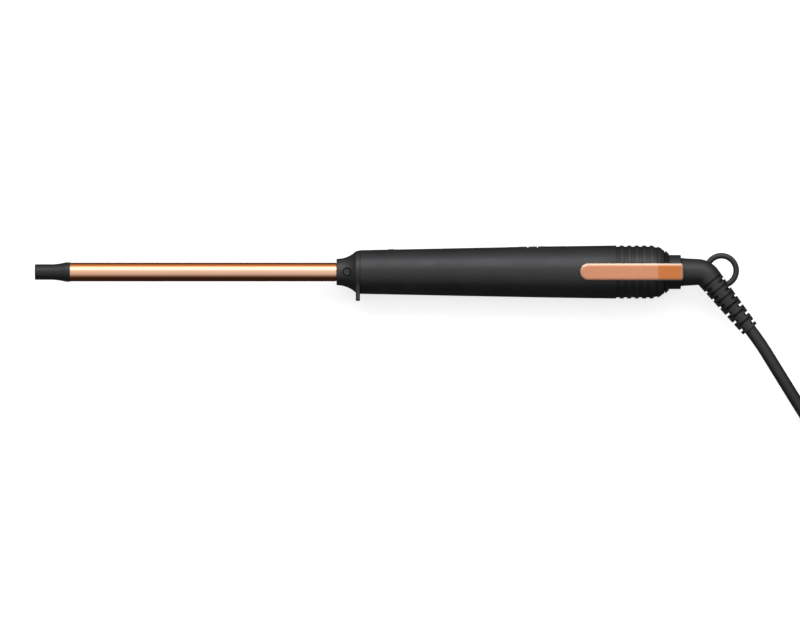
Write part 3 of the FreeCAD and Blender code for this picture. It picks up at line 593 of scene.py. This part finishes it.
def coil_points():
    """Control points of the turns: each keeps its radius, then crosses to the next one's.

    The first turns lie on the floor from the outside in, and the rest lie on them, inside out.
    """
    step = 360 / POINTS_PER_TURN
    outward = 1 / math.cos(math.radians(step / 2))
    points = []
    for n in range(int(COIL_SWEEP_DEGREES / step)):
        swept = (n + 0.5) * step
        turn, part = divmod(swept / 360, 1.0)
        turn = int(turn)
        blend = smooth_step((part - (1 - CROSSING)) / CROSSING)
        after = min(turn + 1, len(COIL_RINGS_MM) - 1)
        radius = COIL_RINGS_MM[turn] + (COIL_RINGS_MM[after] - COIL_RINGS_MM[turn]) * blend
        climb = blend if turn == LOWER_TURNS - 1 else float(turn >= LOWER_TURNS)
        low, high = LAYER_HEIGHTS_MM
        angle = math.radians(COIL_ENTRY_DEGREES + swept)
        points.append((
            COIL_CENTRE_MM[0] + radius * outward * math.cos(angle),
            COIL_CENTRE_MM[1] + radius * outward * math.sin(angle),
            low + (high - low) * climb,
        ))
    return points


def make_cord(material):
    points = CORD_ROUTE_MM + coil_points() + TAIL_ROUTE_MM
    curve = bpy.data.curves.new("mains_lead", "CURVE")
    curve.dimensions = "3D"
    spline = curve.splines.new("NURBS")
    spline.points.add(len(points) - 1)
    for target, place in zip(spline.points, points):
        target.co = (*(c * MM for c in place), 1.0)
    spline.order_u = 3
    spline.use_endpoint_u = True
    curve.resolution_u = 6
    curve.bevel_depth = CORD_DIAMETER / 2
    curve.bevel_resolution = 6
    curve.use_fill_caps = True
    cord = add_piece("mains_lead", curve, material, "cord_swivel")
    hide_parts("mains_cord", "cord_tail", "cord_coil")
    return cord


STRAP_THICK_MM = 0.8
STRAP_HALF_WIDTH_MM = 4.0
STRAP_STEP_DEGREES = 12      # between the rows of its mesh where it goes round a turn
TAB_START_DEGREES = 50       # where on the outermost upper turn the sewn-down end begins
TAB_INSET_MM = 0.4
STITCH_ROWS = 3
STITCH_HALF_SIZE_MM = (0.75, 0.2, 0.14)
STITCH_SIDES = 10
STITCH_LAYERS = 6            # from a dash's top point to its bottom point


def strap_path(lift=0.0):
    """The strap's section round the turns, as (degrees, distance from coil's middle, height)."""
    low, high = LAYER_HEIGHTS_MM
    lower, upper = COIL_RINGS_MM[:LOWER_TURNS], COIL_RINGS_MM[LOWER_TURNS:]
    corners = [
        (min(lower), low, 120, 270),
        (max(lower), low, 270, 390),
        (max(upper), high, 30, 90),
        (min(upper), high, 90, 120),
    ]
    reach = CORD_DIAMETER / MM / 2 + STRAP_THICK_MM / 2 + lift
    path = []
    for radius, height, first, last in corners:
        count = max(3, int((last - first) / STRAP_STEP_DEGREES))
        for n in range(count + 1):
            degrees = first + (last - first) * n / count
            angle = math.radians(degrees)
            out = radius + reach * math.cos(angle)
            path.append((degrees, out, height + reach * math.sin(angle)))
    return path


def make_strip(name, path, half_width, closed, material):
    """A flat strip of the strap's thickness, laid along a path round the coil's section."""
    mesh = bmesh.new()
    rows = [
        [
            mesh.verts.new((
                (COIL_CENTRE_MM[0] + half_width * across) * MM,
                (COIL_CENTRE_MM[1] - out) * MM,
                up * MM,
            ))
            for across in (-1, -0.5, 0, 0.5, 1)
        ]
        for _, out, up in path
    ]
    following = rows[1:] + rows[:1] if closed else rows[1:]
    for row, after in zip(rows, following):
        for n in range(len(row) - 1):
            mesh.faces.new((row[n], row[n + 1], after[n + 1], after[n]))
    bmesh.ops.recalc_face_normals(mesh, faces=mesh.faces)
    data = bpy.data.meshes.new(name)
    mesh.to_mesh(data)
    mesh.free()
    data.shade_smooth()
    strip = add_piece(name, data, material, "cord_swivel")
    solid = strip.modifiers.new("thickness", "SOLIDIFY")
    solid.thickness = STRAP_THICK_MM * MM
    solid.offset = 0.0
    edge = strip.modifiers.new("edge", "BEVEL")
    edge.width = 0.2 * MM
    edge.segments = 2
    return strip


def add_dash(mesh, middle):
    """Adds one dash of thread to the mesh: a ball drawn out along X, its poles up and down."""
    def corner(layer, side):
        slant, turn = math.pi * layer / STITCH_LAYERS, math.tau * side / STITCH_SIDES
        wide = math.sin(slant)
        ball = (wide * math.sin(turn), wide * math.cos(turn), math.cos(slant))
        return mesh.verts.new([
            (m + half * b) * MM for m, half, b in zip(middle, STITCH_HALF_SIZE_MM, ball)
        ])

    top, bottom = corner(0, 0), corner(STITCH_LAYERS, 0)
    rings = [[corner(n, side) for side in range(STITCH_SIDES)] for n in range(1, STITCH_LAYERS)]
    for side in range(STITCH_SIDES):
        after = (side + 1) % STITCH_SIDES
        mesh.faces.new((top, rings[0][after], rings[0][side]))
        for upper, lower in zip(rings, rings[1:]):
            mesh.faces.new((upper[side], upper[after], lower[after], lower[side]))
        mesh.faces.new((rings[-1][side], rings[-1][after], bottom))


def make_stitches(material, height, outs, half_width):
    """Rows of thread dashes across the sewn-down end, a little proud of it."""
    mesh = bmesh.new()
    for out in outs:
        for across in (-0.75, -0.25, 0.25, 0.75):
            x = COIL_CENTRE_MM[0] + across * half_width
            add_dash(mesh, (x, COIL_CENTRE_MM[1] - out, height))
    data = bpy.data.meshes.new("tie_stitches")
    mesh.to_mesh(data)
    mesh.free()
    data.shade_smooth()
    return add_piece("tie_stitches", data, material, "cord_swivel")


def make_strap(material, thread):
    """A woven strap round one side of the coil, drawn tight, with its end sewn down on top."""
    strap = make_strip("coil_tie", strap_path(), STRAP_HALF_WIDTH_MM, True, material)
    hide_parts("coil_strap")
    outer, inner = max(COIL_RINGS_MM[LOWER_TURNS:]), min(COIL_RINGS_MM[LOWER_TURNS:])
    tab = [
        (degrees, out, up)
        for degrees, out, up in strap_path(STRAP_THICK_MM)
        if up > LAYER_HEIGHTS_MM[1] and degrees >= TAB_START_DEGREES
    ]
    tab_half_width = STRAP_HALF_WIDTH_MM - TAB_INSET_MM
    end = make_strip("coil_tie_end", tab, tab_half_width, False, material)
    height = LAYER_HEIGHTS_MM[1] + CORD_DIAMETER / MM / 2 + 2 * STRAP_THICK_MM
    outs = [inner + (outer - inner) * n / (STITCH_ROWS - 1) for n in range(STITCH_ROWS)]
    stitches = make_stitches(thread, height, outs, tab_half_width)
    return [strap, end, stitches]


make_camera()
finish_cad_nodes()
cord = make_cord(cord_material().material)
strap_pieces = make_strap(
    woven("strap_fabric", (0.03, 0.03, 0.033), 0.0006).material,
    moulded("tie_thread", (0.22, 0.22, 0.22), 0.7, grain=0.0004, depth=0.00003, edge=0.0).material,
)
print_white = moulded("mark_print", (0.50, 0.50, 0.50), 0.5, edge=0.0).material
make_key_marks(print_white)
make_level_marks(print_white)
make_lights()
make_floor()
bpy.context.scene.view_settings.view_transform = "Standard"
